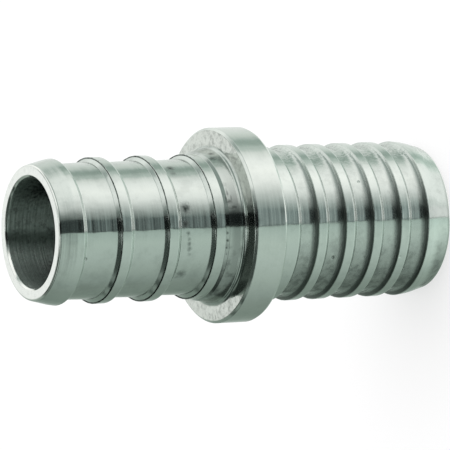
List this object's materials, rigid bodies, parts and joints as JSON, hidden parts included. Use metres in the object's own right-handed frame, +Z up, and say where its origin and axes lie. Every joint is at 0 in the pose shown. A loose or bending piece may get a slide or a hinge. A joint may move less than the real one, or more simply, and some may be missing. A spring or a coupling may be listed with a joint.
{
  "type": "transition coupling",
  "caption": "Insert coupling that joins pipes of different plastic: a ribbed barb on each side of a plain round collar, with a straight bore right through.",
  "frame": {"origin": "centre of the wide barb's end face, on which the coupling stands", "axes": "+Z up along the bore, from the wide barb through the collar to the slim barb; the part is round, so X and Y are alike"},
  "size_m": [0.024, 0.024, 0.0536],
  "materials": {
    "stainless_steel": "lathe turned, with the collar's face and the neck as cast"
  },
  "bodies": {
    "root": {"coupling_body": "stainless_steel"}
  },
  "joints": []
}
